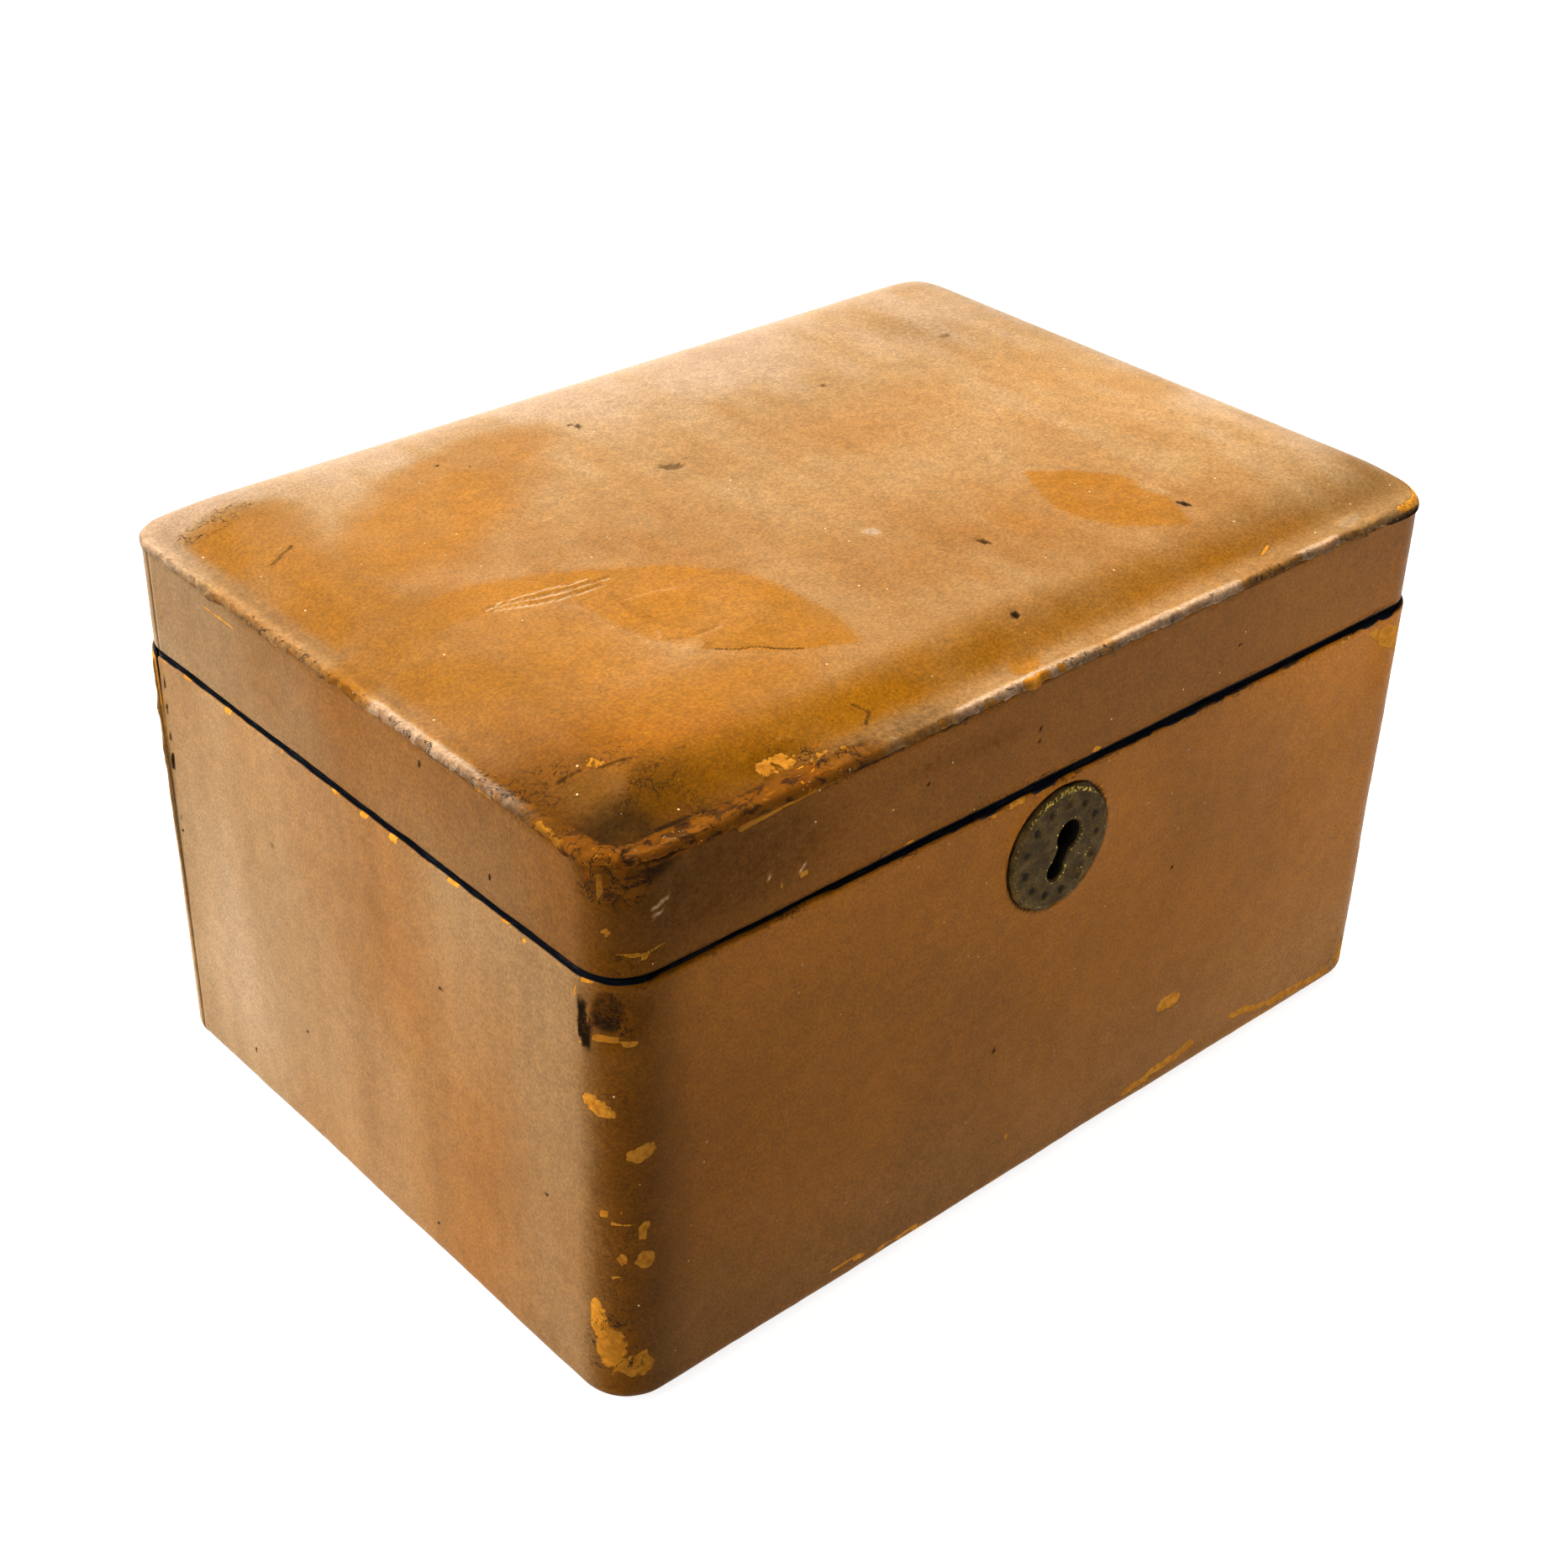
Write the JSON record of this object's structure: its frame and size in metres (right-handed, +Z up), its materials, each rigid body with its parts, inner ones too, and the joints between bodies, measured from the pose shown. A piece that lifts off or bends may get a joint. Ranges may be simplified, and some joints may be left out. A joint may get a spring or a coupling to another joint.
{
  "type": "leather covered lidded box",
  "caption": "Rectangular wooden box covered in tan leather, with a padded hinged lid, a round brass keyhole plate, a box lock and a velvet lining.",
  "frame": {"origin": "centre of the base's underside, on the surface that the box stands on", "axes": "+X along the front, +Y from the keyhole front to the hinged back, +Z up"},
  "size_m": [0.21, 0.1541, 0.1208],
  "materials": {
    "tan_leather": "worn, lightly glazed",
    "dark_edging": "matt dark navy",
    "velvet": "dark navy velvet",
    "base_cloth": "dark cloth paper",
    "wadding": "cotton wadding",
    "pine": "bare softwood",
    "aged_brass": "brown patina, bright on the edges",
    "brass": "dull",
    "steel": "dull"
  },
  "bodies": {
    "box": {"back_board": "pine", "back_leather_panel": "tan_leather", "base_cover": "base_cloth", "body_leaf_screw_1": "brass", "body_leaf_screw_2": "brass", "body_leaf_screw_3": "brass", "body_leaf_screw_4": "brass", "body_leather_wrap": "tan_leather", "body_rim_edging": "dark_edging", "bottom_board": "pine", "escutcheon": "aged_brass", "floor_pad": "velvet", "front_board": "pine", "hinge_left_body_leaf": "brass", "hinge_left_pin": "steel", "hinge_right_body_leaf": "brass", "hinge_right_pin": "steel", "key_pin": "steel", "left_board": "pine", "lever_spring": "steel", "lining_back": "velvet", "lining_front": "velvet", "lining_left": "velvet", "lining_right": "velvet", "lock_cap": "brass", "lock_case": "brass", "lock_screw_1": "brass", "lock_screw_2": "brass", "lock_screw_3": "brass", "lock_screw_4": "brass", "right_board": "pine"},
    "lid": {"hinge_left_lid_leaf": "brass", "hinge_right_lid_leaf": "brass", "lid_back_leather": "tan_leather", "lid_back_rail": "pine", "lid_front_rail": "pine", "lid_leaf_screw_1": "brass", "lid_leaf_screw_2": "brass", "lid_leaf_screw_3": "brass", "lid_leaf_screw_4": "brass", "lid_left_rail": "pine", "lid_lining_back": "velvet", "lid_lining_front": "velvet", "lid_lining_left": "velvet", "lid_lining_pad": "velvet", "lid_lining_right": "velvet", "lid_pad": "wadding", "lid_right_rail": "pine", "lid_rim_edging": "dark_edging", "lid_side_leather": "tan_leather", "lid_top_board": "pine", "lid_top_leather": "tan_leather", "link_plate": "brass", "link_screw_1": "brass", "link_screw_2": "brass"},
    "lock_bolt": {"lock_bolt": "steel"},
    "lock_lever": {"lock_lever": "brass"}
  },
  "joints": [
    {"name": "lid_hinge", "type": "hinge", "parent": "box", "child": "lid", "pos_m": [0, 0.076, 0.09345], "axis": [-1, 0, 0], "range_deg": [0, 100]},
    {"name": "bolt_slide", "type": "slide", "parent": "box", "child": "lock_bolt", "axis": [1, 0, 0], "range_m": [0, 0.0042]},
    {"name": "lever_lift", "type": "hinge", "parent": "box", "child": "lock_lever", "pos_m": [-0.0194, -0.0695, 0.08], "axis": [0, -1, 0], "range_deg": [0, 5], "stiffness_Nm_per_rad": 0.02, "springref_deg": -11.46, "deforming": ["lever_spring"]}
  ]
}
